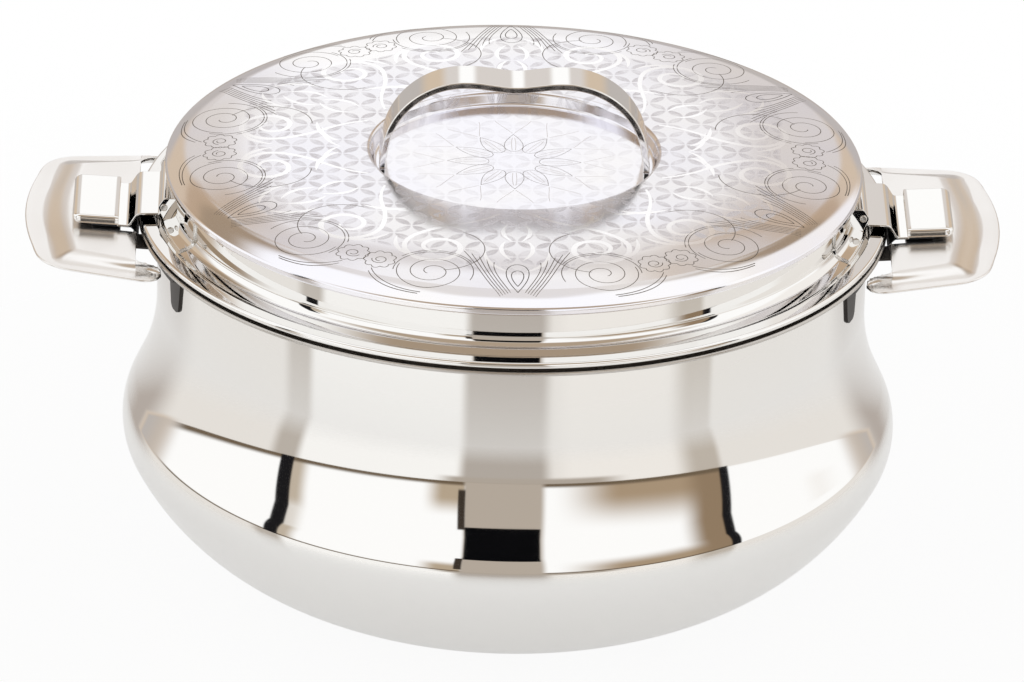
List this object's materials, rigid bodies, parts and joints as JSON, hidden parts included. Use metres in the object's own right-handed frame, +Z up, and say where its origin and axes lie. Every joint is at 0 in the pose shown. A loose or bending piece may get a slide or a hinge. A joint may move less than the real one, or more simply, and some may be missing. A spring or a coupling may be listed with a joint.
{
  "type": "insulated casserole",
  "caption": "Round insulated steel casserole: bellied double-walled pot, lift-off lid with strap handle, pressed side handles and hinged side latches that hook under the rim.",
  "frame": {"origin": "on the standing face, under the middle of the pot", "axes": "+X along the side handles and latches, +Z up, +Y away from the front"},
  "size_m": [0.3502, 0.2792, 0.1901],
  "materials": {
    "mirror_steel": "polished",
    "satin_steel": "satin",
    "pin_steel": "satin",
    "spring_steel": "satin",
    "foam": "matte",
    "silicone": "matte"
  },
  "bodies": {
    "pot": {"outer_shell": "mirror_steel", "inner_liner": "satin_steel", "body_insulation": "foam", "base_plate": "satin_steel", "handle_left": "mirror_steel", "handle_right": "mirror_steel", "handle_bracket_left": "satin_steel", "handle_bracket_right": "satin_steel"},
    "lid": {"lid_top": "mirror_steel", "lid_neck": "mirror_steel", "lid_liner": "satin_steel", "lid_insulation": "foam", "lid_seal": "silicone", "strap_handle": "mirror_steel", "latch_bracket_left": "mirror_steel", "latch_bracket_right": "mirror_steel", "hinge_pin_left": "pin_steel", "hinge_pin_right": "pin_steel"},
    "latch_left": {"latch_lever_left": "mirror_steel", "latch_spring_left": "spring_steel", "spring_rivets_left": "pin_steel"},
    "latch_right": {"latch_lever_right": "mirror_steel", "latch_spring_right": "spring_steel", "spring_rivets_right": "pin_steel"}
  },
  "joints": [
    {"name": "lid_lift", "type": "slide", "parent": "pot", "child": "lid", "axis": [0, 0, 1], "range_m": [0, 0.15]},
    {"name": "latch_left_swing", "type": "hinge", "parent": "lid", "child": "latch_left", "pos_m": [-0.1249, 0, 0.1448], "axis": [0, 1, 0], "range_deg": [0, 95], "deforming": ["latch_spring_left"]},
    {"name": "latch_right_swing", "type": "hinge", "parent": "lid", "child": "latch_right", "pos_m": [0.1249, 0, 0.1448], "axis": [0, -1, 0], "range_deg": [0, 95], "deforming": ["latch_spring_right"]}
  ]
}
